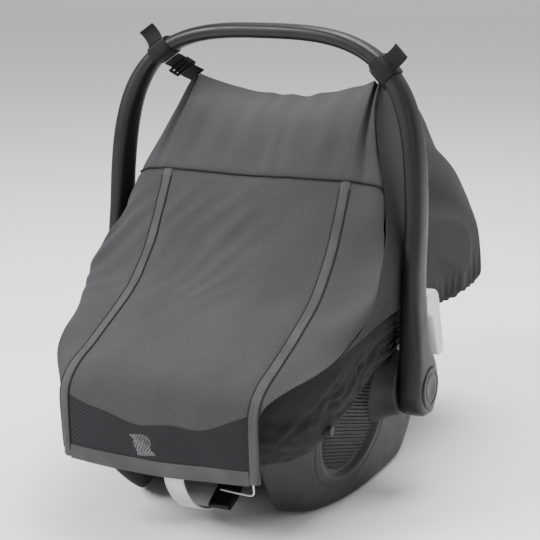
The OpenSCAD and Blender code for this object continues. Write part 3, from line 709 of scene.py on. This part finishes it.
def build_lock_button(side):
    """Round release button: a shallow dished face, a grip ring and a softened rim."""
    profile = [(212.6, 25.6), (218.6, 26), (219.6, 25.6), (220.3, 24.6), (220.6, 23), (220.5, 20),
               (219.9, 19.2), (219.9, 18), (220.5, 17.2), (220.4, 14), (219.9, 9), (219.6, 4), (219.5, 0.3)]
    button = lathe_x("lock_button_" + NAMES[side] + "_face", side, profile, PAINTS["handle_plastic"],
                     "lock_button_" + NAMES[side])
    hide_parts("lock_button_" + NAMES[side])


def build_spring(side):
    """Coil behind the release button, a fixed coil that rides on the handle."""
    low, high = np.array(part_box("lock_spring_" + NAMES[side]))
    wire = 0.9
    reach = 500 * (high[1] - low[1]) - wire
    turns = np.linspace(0, 5, 200)
    x0, x1 = SPRING_X[0] + wire, SPRING_X[1] - wire
    x = side * np.clip(mix(x0, x1, (turns - 0.5) / 4), x0, x1)
    path = stack(x, PIVOT[0] + reach * cosd(360 * turns), PIVOT[1] + reach * sind(360 * turns))
    coil = tube("lock_spring_" + NAMES[side] + "_coil", path, wire, PAINTS["steel"], "handle", 10)
    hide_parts("lock_spring_" + NAMES[side])
    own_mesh(coil)


def build_lever(side):
    """Pale squeeze trigger behind the leg, a curved blade with rounded edges."""
    outline = smooth_closed([[21, 240], [28, 246], [44, 246], [56, 238], [61, 224], [69, 196], [77, 168],
                             [76, 161], [70, 158], [58, 161], [49, 180], [38, 210], [21, 222]], 96)
    middle = outline.mean(axis=0)
    rings = []
    for x, inset in ((200.6, 2.0), (201.0, 0.9), (202.2, 0.0), (211.3, 0.0), (212.5, 0.9), (212.9, 2.2),
                     (212.95, 5)):
        reach = np.linalg.norm(outline - middle, axis=1, keepdims=True)
        ring = middle + (outline - middle) * (1 - inset / np.maximum(reach, 8))
        rings.append(stack(np.full(len(ring), side * x), ring[:, 0], ring[:, 1]))
    lever = loft("lever_" + NAMES[side] + "_blade", np.array(rings), PAINTS["lever_plastic"],
                 "lever_" + NAMES[side], sharp=60)
    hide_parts("lever_" + NAMES[side])


def smooth_closed(points, count):
    p = np.asarray(points, float)
    p = np.concatenate([p[-2:], p, p[:2]])
    t = np.linspace(1, len(p) - 3, count, endpoint=False)
    return catmull(p, t)


# ---- cover ----
def cover_row(v):
    before = 2 * COVER_ROWS[0] - COVER_ROWS[1]
    after = 2 * COVER_ROWS[-1] - COVER_ROWS[-2]
    return catmull(np.concatenate([[before], COVER_ROWS, [after]]), np.asarray(v, float))


ROW_LENGTH = lengths(COVER_ROWS[:, None, :2], 0)[:, 0]
CORNER = COVER_ROWS[-1, 4:]


def cover_flat(v, s):
    """The cover before its folds. v counts the rows, and s is 1 at the strips and 2 at the side edges."""
    v, s = np.broadcast_arrays(np.asarray(v, float), np.asarray(s, float))
    r = np.moveaxis(cover_row(v), -1, 0)
    q = np.clip(np.abs(s), 0, 1)
    u = np.clip(np.abs(s) - 1, 0, 1)
    k = 1 - cosd(90 * u)
    x = np.where(np.abs(s) <= 1, STRIP_X * q, mix(STRIP_X, r[4], sind(90 * u)))
    y = np.where(np.abs(s) <= 1, mix(r[0], r[2], q * q), mix(r[2], r[5], k))
    z = np.where(np.abs(s) <= 1, mix(r[1], r[3], q * q), mix(r[3], r[6], k))
    return stack(np.sign(s) * x, y, z)


def cover_relief(v, s):
    """Height of the cover's folds: broad swells, folds that hang from the ridge and slanting pulls."""
    v, s = np.broadcast_arrays(np.asarray(v, float), np.asarray(s, float))
    x = STRIP_X * np.clip(s, -1, 1) + 62 * (np.sign(s) * np.clip(np.abs(s) - 1, 0, 1))
    length = np.interp(v, np.arange(len(ROW_LENGTH)), ROW_LENGTH)
    swell = 2.6 * lattice(x / 62 + 7, length / 78, 3) + 1.2 * lattice(x / 27, length / 34 + 5, 4)
    hang = np.sin(x / 6.2 + 2.2 * lattice(x / 40, length / 60, 5))
    hang = hang * (0.5 + 0.5 * lattice(x / 34, length / 120, 6))
    hang = 1.5 * hang * ramp(v, 8.6, 9.6)
    slant = (x - length * 0.8) / 34 + 0.45 * lattice(x / 60, length / 60, 8)
    pull = 2.3 * np.sin(2 * np.pi * slant) * ramp(v, 3.8, 7.4) * ramp(9.0 - v, 0, 1.1)
    pull = pull * ramp(-x, -70, 80) * (0.6 + 0.4 * lattice(x / 50, length / 90, 9))
    crease = -6.0 * np.exp(-(((np.abs(s) - 1.3) / 0.14) ** 2)) * ramp(v, 8.4, 10)
    side = 3.0 * np.sin((length - 1.5 * (np.abs(x) - STRIP_X)) / 26)
    side = side * ramp(np.abs(s), 1.05, 1.5) * ramp(v, 1.2, 4) * ramp(SEAM_ROW - v, -0.6, 1.6)
    foot = -2.5 * np.exp(-(((v - 2.9) / 0.8) ** 2)) * ramp(np.abs(s), 0.2, 0.9)
    seams = 1 - 0.75 * np.exp(-(((np.abs(s) - 1) / 0.1) ** 2))
    piped = -1.5 * np.exp(-(((v - SEAM_ROW) / 0.09) ** 2))
    return (swell + hang + pull + side) * seams + crease + foot + piped


def cover_point(v, s, lift=0.0):
    p = cover_flat(v, s)
    first_row = np.broadcast_to(s, p.shape[:2])[0]
    n = normals(p) * np.sign(first_row[-1] - first_row[0])
    return p + n * (cover_relief(v, s) + lift)[..., None]


def cover_grid(v0, v1, s0, s1, rows, columns, lift=0.0):
    v, s = np.meshgrid(np.linspace(v0, v1, rows), np.linspace(s0, s1, columns), indexing="ij")
    return cover_point(v, s, lift)


def side_grid(v0, v1, s0, s1, rows, columns):
    """Side panel, which narrows to the binding strip near the hem."""
    v, k = np.meshgrid(np.linspace(v0, v1, rows), np.linspace(s0, s1, columns), indexing="ij")
    reach = mix(0.16, 1, ramp(v, 1.6, 5.2) ** 0.8)
    return cover_point(v, np.sign(k) * (1 + (np.abs(k) - 1) * reach))


def build_cover():
    """Front cover: mesh panels, woven top, binding strips, hem band and the dark piping along the seam."""
    panels = [
        ("center_mesh_cloth", (0.0, SEAM_ROW, -1, 1, 240, 150), "mesh_fabric", ["cover_center_mesh"]),
        ("side_mesh_cloth_left", (0.0, SEAM_ROW, -2, -1, 240, 50), "mesh_fabric", ["cover_side_mesh_left"]),
        ("side_mesh_cloth_right", (0.0, SEAM_ROW, 1, 2, 240, 50), "mesh_fabric", ["cover_side_mesh_right"]),
        ("top_cloth", (SEAM_ROW, RIDGE_ROW, -2, 2, 110, 260), "top_fabric", ["cover_top"]),
    ]
    for name, span, slot, nodes in panels:
        grid = side_grid(*span) if "side" in name else cover_grid(*span)
        piece = cloth(name, grid, PAINTS[slot])
        finish_cloth(piece, nodes)
    for side in SIDES:
        v = np.linspace(0, SEAM_ROW, 260)[:, None]
        offset = np.linspace(-STRIP_W / 2, STRIP_W / 2, 9)[None, :]
        reach = cover_row(v[:, 0])[:, 4][:, None] - STRIP_X
        outside = 1 + np.degrees(np.arcsin(np.clip(offset / reach, 0, 1))) / 90
        s = np.where(offset < 0, 1 + offset / STRIP_X, outside)
        crown = 1.9 - 1.1 * (np.abs(offset) / (STRIP_W / 2)) ** 4
        grid = cover_point(v + 0 * s, side * s, crown + 0 * s)
        piece = cloth("binding_" + NAMES[side], grid[:, ::side], PAINTS["binding_fabric"], 1.6)
        finish_cloth(piece, ["cover_binding_" + NAMES[side]])
        for edge, column in (("inner", 0), ("outer", -1)):
            path = grid[4:-4:2, column] + (0, -0.5, 0.5)
            stitch = tube("stitch_" + edge + "_" + NAMES[side], path, 0.55, PAINTS["skirt_fabric"], None, 6)
            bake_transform(stitch)
    v, s = np.meshgrid(np.linspace(-0.03, 0.26, 14), np.linspace(-0.95, 0.95, 160), indexing="ij")
    grid = cover_point(v, s, 1.4)
    piece = cloth("hem_band", grid, PAINTS["binding_fabric"], 2.2)
    finish_cloth(piece, ["cover_hem"])
    k, s = np.meshgrid(np.linspace(0, 1, 60), np.linspace(-0.95, 0.95, 160), indexing="ij")
    grid = cover_point(mix(0.2, 0.98 + 0.75 * np.abs(s) ** 3 + 0.05 * np.sin(9 * s), k), s, 0.5)
    piece = cloth("foot_band", grid, PAINTS["band_fabric"], 1.0)
    finish_cloth(piece, [])
    k, s = np.meshgrid(np.linspace(0, 1, 16), np.linspace(-1, 1, 16), indexing="ij")
    bend = 0.02 * np.sin(7 * k + 2 * s)
    grid = cover_point(mix(0.34, 0.72, k) + bend, -0.09 + 0.1 * s - 0.07 * k + 0.012 * np.sin(11 * k), 0.9)
    piece = cloth("thin_patch", grid, PAINTS["thin_net"], 0.6)
    finish_cloth(piece, [])
    s = np.linspace(-2, 2, 300)
    v = np.stack([np.full(300, SEAM_ROW - 0.02), np.full(300, SEAM_ROW + 0.02)])
    grid = cover_point(v, np.stack([s, s]), 1.1)
    seam = tube("seam_piping", grid.mean(axis=0), 1.2, PAINTS["harness_webbing"], None)
    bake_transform(seam)


def tube(name, path, r, material, body, count=8):
    """A thin round tube along a path."""
    step = unit(np.gradient(path, axis=0))
    side = unit(np.cross(step, (0.3, 0.2, 0.93)))
    up = np.cross(side, step)
    u = np.linspace(0, 2 * np.pi, count, endpoint=False)
    c, s = np.cos(u)[None, :, None], np.sin(u)[None, :, None]
    rings = path[:, None] + r * (side[:, None] * c + up[:, None] * s)
    return loft(name, rings, material, body)


def hood_point(q, t):
    """Hood before its folds. q runs up the side edge to 1 and over the ridge to 1.5, t back to the hem."""
    q, t = np.broadcast_arrays(np.asarray(q, float), np.asarray(t, float))
    a = np.where(q <= 1, 60 * q, 60 + 60 * (q - 1))
    row = np.moveaxis(cover_row(mix(4, RIDGE_ROW, np.clip(q, 0, 1))), -1, 0)
    x = CORNER[0] * (1 - 2 * np.clip(q - 1, 0, 0.5))
    bow = (x / CORNER[0]) ** 2
    front = [np.where(q <= 1, row[4], x), np.where(q <= 1, row[5] + 2, mix(104, 84, bow)),
             np.where(q <= 1, row[6] - 1, mix(462, 487, bow))]
    middle = [*plan(a, 7, 188 + 20 * sind(a), 316, 70), 252 + 160 * np.abs(sind(a)) ** 1.2]
    rear = [*plan(a, 7, 178 + 14 * sind(a), 318, 60), 196 - 20 * sind(a)]
    curves = zip(front, middle, rear)
    return stack(*[f * (1 - t) ** 2 + m * 2 * t * (1 - t) + r * t * t for f, m, r in curves])


def build_hood():
    """Hood over the head end: one sheet with deep soft folds and a gathered, elasticated rear hem."""
    q = np.concatenate([np.linspace(0, 1.5, 150), np.linspace(1.5, 0, 150)[1:]])
    mirror = np.concatenate([np.ones(150), -np.ones(149)])
    t = np.linspace(0, 1, 120)[:, None]
    grid = hood_point(q[None, :], t) * stack(mirror, 1 + 0 * mirror, 1 + 0 * mirror)[None]
    w = np.concatenate([q[:150], 3 - q[150:]])[None, :]
    free = ramp(t, 0.02, 0.22)
    swell = 6.0 * lattice(w * 5, t * 3 + 0.3, 21) + 3.0 * lattice(w * 12, t * 4, 22)
    falls = 4.0 * np.sin(w * 19 + 2.5 * lattice(w * 4, t * 2, 23)) * (0.5 + 0.5 * lattice(w * 6, t * 3, 24))
    gather = 2.6 * np.sin(w * 95 + 3 * lattice(w * 9, t * 2, 25)) * ramp(t, 0.72, 1) ** 1.5
    tuck = -9.0 * ramp(t, 0.93, 1) ** 2
    n = -normals(grid)
    grid = grid + n * (free * (swell + falls) + gather + tuck)[..., None]
    half_w = 187  # between the handle's legs
    grid[..., 0] = np.clip(grid[..., 0], -half_w, half_w)
    piece = cloth("hood_cloth", grid[:, ::-1], PAINTS["hood_fabric"], 1.5)
    finish_cloth(piece, ["cover_hood"])


def build_skirt():
    """The seat's own textile edge: folded over the rim and crumpled where it hangs on the side walls."""
    a = np.linspace(0, -360, 560, endpoint=False)
    rim_y = rim_plan(a, 0)[1]
    top = rim_z(rim_y)
    low = 100 + 74 * ramp(rim_y, -215, -20) + 50 * ramp(rim_y, 40, 250)
    low = np.maximum(low, base_z(*base_plan(a)) + 8)
    low = low + 3.5 * lattice(a / 14, 0 * a, 31)
    rings = []
    for k in np.linspace(0, 1, 46):
        z = mix(low, top + 2, k)
        crumple = 3.4 * lattice(a / 6, k * 4 + 0 * a, 32)
        crumple = crumple + 5.0 * (np.abs(lattice(a / 4 + k * 5, k * 6 - a / 9, 33)) - 0.35)
        crumple = crumple + 3.0 * (np.abs(lattice(a / 2 - k * 4, k * 9 + a / 7, 34)) - 0.3)
        puff = 4.4 + 3.6 * math.sin(math.pi * k) + crumple * math.sin(math.pi * min(1, k + 0.2))
        rings.append(wall_at(a, z, np.maximum(1.6, puff)))
    rings += [wall_at(a, top + 5, 1.5), wall_at(a, top + 6, -WALL)]
    rings += [wall_at(a, top + 3, -WALL - 4), wall_at(a, top - 2, -WALL - 4)]
    rings += [wall_at(a, top - 2, -WALL - 1), wall_at(a, top + 1, -WALL - 0.7), wall_at(a, top + 1, 0.7)]
    rings += [wall_at(a, mix(top, low, k), 0.8) for k in (0.3, 0.6, 1)]
    skirt = loft("skirt_cloth", np.array(rings), PAINTS["skirt_fabric"], "seat", close_rows=True, sharp=60)
    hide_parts("seat_skirt")


# ---- straps of the cover ----
def build_straps(side):
    """Webbing loop round the handle, its tail, the link to the cover's corner and the slider on it."""
    body_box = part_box("strap_loop_" + NAMES[side])
    line = bow_line(400)
    centre_x = 500 * (body_box[0][0] + body_box[1][0])
    i = int(np.argmin(np.abs(line[:, 0] - centre_x)))
    along = unit(line[i + 1] - line[i - 1]) * side
    across = np.array([along[1], -along[0]]) * side
    if across[1] < 0:
        across = -across
    width = raked(*along, 0) - raked(0, 0, 0)
    r = line[i][1]
    a, b = half_thick(r), half_deep(r)

    def near(v, w, h):
        f = line[i] + across * v + along * w
        return raked(f[0], f[1], h)

    u = np.linspace(0, 2 * np.pi, 72, endpoint=False)
    loop = []
    for k in u:
        c, s = power(math.cos(k), 0.72), power(math.sin(k), 0.72)
        ring = []
        for w, g in ((-14, 0.4), (-14, 2.0), (-12, 2.6), (0, 2.8), (12, 2.6), (14, 2.0), (14, 0.4), (0, 0.4)):
            wave = 0.5 * math.sin(3 * k + w / 9)
            ring.append(near((a + g) * c, w + wave, leg_off(r) + (b + g) * s))
        loop.append(ring)
    loop = loft("loop_" + NAMES[side], np.array(loop), PAINTS["harness_webbing"], "handle", close_rows=True)
    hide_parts("strap_loop_" + NAMES[side])
    stops = ((1.5, -12), (4, -9), (12, -8), (19, -10), (23, -13))
    tail = np.array([near(a + v, 0, h) for v, h in stops])
    build_ribbon("tail_" + NAMES[side], tail, width, 11, 2.2, "handle", ["strap_tab_" + NAMES[side]])
    corner = CORNER * (side, 1, 1)
    start = near(-a - 4, 0, 6)
    link = np.array([start, mix(start, corner, 0.3) + (0, -2, 2), mix(start, corner, 0.7) + (0, -1, -1),
                     mix(start, corner, 1.1)])
    band = build_ribbon("link_" + NAMES[side], link, width, 12, 2.0, None, ["strap_link_" + NAMES[side]])
    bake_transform(band)
    build_slider(side, start, corner, width)


def build_ribbon(name, points, width, half_w, thick, body, nodes, slot="harness_webbing"):
    path = smooth_path(points, 40)
    step = unit(np.gradient(path, axis=0))
    width = unit(np.asarray(width, float))
    lift = unit(np.cross(step, width))
    ribbon = strip(name, path, np.broadcast_to(width, path.shape), lift, half_w, thick, PAINTS[slot], body)
    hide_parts(*nodes)
    return ribbon


def rounded_bar(p0, p1, wide, high, half_w, half_h):
    """Rings of a bar from p0 to p1 with a rounded cross-section."""
    u = np.linspace(0, 2 * np.pi, 12, endpoint=False)
    c, s = power(np.cos(u), 0.6)[:, None], power(np.sin(u), 0.6)[:, None]
    rings = []
    for t, k in ((0, 0.6), (0.04, 0.95), (0.1, 1), (0.9, 1), (0.96, 0.95), (1, 0.6)):
        rings.append(mix(p0, p1, t) + wide * half_w * k * c + high * half_h * k * s)
    return np.array(rings)


def build_slider(side, start, corner, width):
    """Three-bar slider: two side rails joined by three cross bars."""
    width = unit(width)
    along = unit(corner - start)
    high = np.cross(along, width)
    if high[1] > 0:
        high = -high
    at = mix(start, corner, 0.42) + high * 2.6
    bars = [rounded_bar(at + along * k - width * 15, at + along * k + width * 15, along, high, 1.9, 1.5)
            for k in (-9, 0, 9)]
    bars += [rounded_bar(at + width * k - along * 10.5, at + width * k + along * 10.5, width, high, 1.8, 1.7)
             for k in (-14.5, 14.5)]
    points, faces = [], []
    for bar in bars:
        m, n = bar.shape[:2]
        base = len(points)
        points += bar.reshape(-1, 3).tolist()
        shape = quads(m, n, close_ring=True) + [list(range(n))[::-1], list(range((m - 1) * n, m * n))]
        faces += [[base + k for k in f] for f in shape]
    slider = outward(make("slider_" + NAMES[side], points, faces, PAINTS["black_plastic"]), None)
    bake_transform(slider)
    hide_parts("strap_buckle_" + NAMES[side])


# ---- soft parts inside ----
MOST_SWELL = 0.004  # metres


def build_layer(name, e0, e1, material, node, quilt):
    """Bowl-shaped layer between two insets, with an optional quilted upper face."""
    a = np.linspace(0, 360, 160, endpoint=False)
    outer = [floor_ring(a, k, e0) for k in (0.02, 0.33, 0.66)]
    outer += [inner_point(a, t, e0 + 0.6) for t in np.linspace(0, LAYER_TOP, 20)]
    inner = []
    for t in np.linspace(LAYER_TOP, 0, 40):
        dent = quilt * np.abs(np.sin(t * 11)) ** 0.4 * np.abs(sind(a * 9)) ** 0.3
        inner.append(inner_point(a, t, e1 - quilt + dent))
    inner += [floor_ring(a, k, e1) for k in (0.8, 0.5, 0.02)]
    piece = loft(name, np.array(outer + inner), material, "seat", sharp=60)
    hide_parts(node)
    return piece


def puff(node, body, slot, fill):
    """A stuffed piece from a CAD solid, swollen by a cloth simulation that moves no point past MOST_SWELL."""
    source = frame["nodes"][node]
    piece = bpy.data.objects.new(node + "_soft", source.data.copy())
    bpy.context.scene.collection.objects.link(piece)
    remesh = piece.modifiers.new("remesh", "REMESH")
    remesh.mode = "VOXEL"
    remesh.voxel_size = 0.004
    apply_modifiers(piece)
    start = np.array([v.co for v in piece.data.vertices], float)
    sim = piece.modifiers.new("cloth", "CLOTH")
    sim.settings.use_pressure = True
    sim.settings.uniform_pressure_force = 4
    sim.settings.effector_weights.gravity = 0
    for number in range(1, 16):
        bpy.context.scene.frame_set(number)
    apply_modifiers(piece)
    end = np.array([v.co for v in piece.data.vertices], float)
    move = end - start
    far = np.maximum(1, np.linalg.norm(move, axis=1, keepdims=True) / MOST_SWELL)
    piece.data.vertices.foreach_set("co", (start + move / far).ravel())
    smooth = piece.modifiers.new("smooth", "SUBSURF")
    smooth.levels = 1
    apply_modifiers(piece)
    piece.data.shade_smooth()
    piece.data.materials.clear()
    piece.data.materials.append(PAINTS[slot])
    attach(piece, body)
    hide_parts(node)


def build_adjuster():
    """Pale pull webbing that curls under the foot end, and the thin elastic from the hem's corner."""
    route = [[10, -250, 80], [10, -248, 70], [10, -240, 56], [10, -228, 42], [10, -212, 30], [10, -194, 21],
             [10, -180, 17]]
    build_ribbon("pull_webbing", np.array(route, float), (1, 0, 0), 12.5, 2.2, "seat", ["adjuster_webbing"],
                 "pale_webbing")
    corner_route = [[108, -248, 86], [102, -236, 66], [80, -220, 58], [55, -200, 50], [34, -182, 43]]
    elastic = smooth_path(corner_route, 40)
    cord = tube("corner_elastic", elastic, 1.1, PAINTS["pale_webbing"], "seat")
    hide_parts("hem_elastic")


# ---- studio ----
def build_studio():
    """Pale floor, soft overhead and side light."""
    floor = bpy.data.meshes.new("studio_floor")
    floor.from_pydata([(-6, -6, 0), (6, -6, 0), (6, 6, 0), (-6, 6, 0)], [], [(0, 1, 2, 3)])
    floor.materials.append(floor_paint())
    ground = bpy.data.objects.new("studio_floor", floor)
    bpy.context.scene.collection.objects.link(ground)
    world = bpy.data.worlds.new("studio")
    world.use_nodes = True
    world.node_tree.nodes["Background"].inputs["Color"].default_value = (1, 1, 1, 1)
    world.node_tree.nodes["Background"].inputs["Strength"].default_value = 0.62
    bpy.context.scene.world = world
    for name, where, size, watts in (("key", (-1.4, -1.8, 1.8), 1.0, 100), ("fill", (1.9, -1.3, 1.2), 1.4, 8),
                                     ("top", (0.2, 0.5, 2.4), 1.6, 95)):
        lamp = bpy.data.lights.new(name, "AREA")
        lamp.size = size
        lamp.energy = watts
        light = bpy.data.objects.new(name, lamp)
        light.location = where
        light.rotation_euler = (Vector((0, 0, 0.25)) - Vector(where)).to_track_quat("-Z", "Y").to_euler()
        bpy.context.scene.collection.objects.link(light)


def build_camera():
    azimuth, elevation, roll = math.radians(25.717), math.radians(12.849), math.radians(0.77)
    distance = 2.0465
    target = Vector(row_frame((0, 0, 290)))
    level = math.cos(elevation)
    back = Vector((math.sin(azimuth) * level, -math.cos(azimuth) * level, math.sin(elevation)))
    lens = bpy.data.cameras.new("camera")
    lens.sensor_width = 36
    lens.lens = 111.15
    lens.shift_x = 0.0199
    lens.shift_y = -0.0443
    camera = bpy.data.objects.new("camera", lens)
    look = (-back).to_track_quat("-Z", "Y").to_matrix().to_4x4()
    camera.matrix_world = Matrix.Translation(target + back * distance) @ look @ Matrix.Rotation(-roll, 4, "Z")
    bpy.context.scene.collection.objects.link(camera)
    bpy.context.scene.camera = camera


build_studio()
build_camera()
build_shell()
build_bow()
build_cover()
build_hood()
build_skirt()
for side in SIDES:
    build_rib_panel(side)
    build_boss(side)
    build_lock_button(side)
    build_lever(side)
    build_spring(side)
    build_straps(side)
build_layer("foam_bowl", 1.4, 13, PAINTS["foam"], "foam_liner", 0)
seat = build_layer("pad_bowl", 14.8, 34, PAINTS["pad_fabric"], "seat_pad", 2.5)
for node_name in ("head_support", "shoulder_pad_left", "shoulder_pad_right"):
    puff(node_name, "seat", "pad_fabric", 0.6)
build_adjuster()
